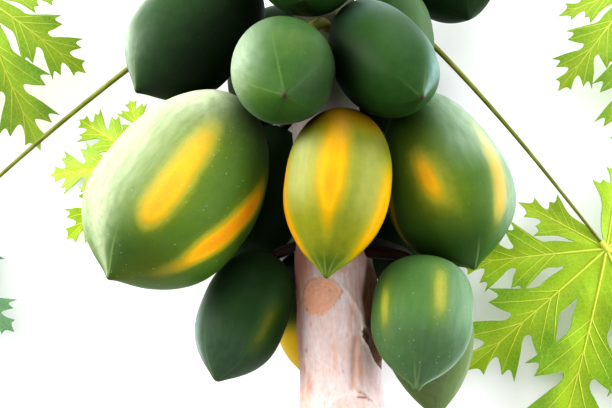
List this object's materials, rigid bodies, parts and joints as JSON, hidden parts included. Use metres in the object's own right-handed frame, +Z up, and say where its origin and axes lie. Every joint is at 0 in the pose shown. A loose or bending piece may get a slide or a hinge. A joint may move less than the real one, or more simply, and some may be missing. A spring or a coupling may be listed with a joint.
{
  "type": "cut papaya trunk with fruit",
  "caption": "Cut length of papaya trunk with its cluster of green and ripening fruit and a few long-stalked lobed leaves, laid on its back.",
  "frame": {"origin": "middle of the footprint, on the ground that the lowest fruit rest on", "axes": "+Z up from the ground, +Y along the trunk towards the crown, +X to the trunk's right seen from above"},
  "size_m": [1.3448, 0.757, 0.3642],
  "materials": {
    "bark": "matt, faintly streaked",
    "rind_green": "waxy satin",
    "rind_ripe": "waxy satin",
    "stalk_skin": "smooth satin",
    "leaf": "soft matt"
  },
  "bodies": {
    "root": {"trunk": "bark", "fruit_ripe_front": "rind_ripe", "fruit_stalk_ripe_front": "stalk_skin", "fruit_big_left": "rind_green", "fruit_stalk_big_left": "stalk_skin", "fruit_big_right": "rind_green", "fruit_stalk_big_right": "stalk_skin", "fruit_low_left": "rind_green", "fruit_stalk_low_left": "stalk_skin", "fruit_low_right": "rind_green", "fruit_stalk_low_right": "stalk_skin", "fruit_low_right_rear": "rind_green", "fruit_stalk_low_right_rear": "stalk_skin", "fruit_high_left": "rind_green", "fruit_stalk_high_left": "stalk_skin", "fruit_high_front": "rind_green", "fruit_stalk_high_front": "stalk_skin", "fruit_high_right": "rind_green", "fruit_stalk_high_right": "stalk_skin", "fruit_top_front": "rind_green", "fruit_stalk_top_front": "stalk_skin", "fruit_top_right": "rind_green", "fruit_stalk_top_right": "stalk_skin", "fruit_top_far_right": "rind_green", "fruit_stalk_top_far_right": "stalk_skin", "fruit_ripe_rear": "rind_ripe", "fruit_stalk_ripe_rear": "stalk_skin", "fruit_rear_left": "rind_green", "fruit_stalk_rear_left": "stalk_skin", "fruit_rear_right": "rind_green", "fruit_stalk_rear_right": "stalk_skin", "fruit_rear_middle": "rind_green", "fruit_stalk_rear_middle": "stalk_skin", "fruit_high_rear_left": "rind_green", "fruit_stalk_high_rear_left": "stalk_skin", "fruit_high_rear_right": "rind_green", "fruit_stalk_high_rear_right": "stalk_skin", "leaf_stalk_right": "stalk_skin", "leaf_blade_right": "leaf", "leaf_stalk_left": "stalk_skin", "leaf_blade_left": "leaf", "leaf_stalk_upper_left": "stalk_skin", "leaf_blade_upper_left": "leaf", "leaf_stalk_upper_right": "stalk_skin", "leaf_blade_upper_right": "leaf", "leaf_stalk_lower_left": "stalk_skin", "leaf_blade_lower_left": "leaf"}
  },
  "joints": []
}
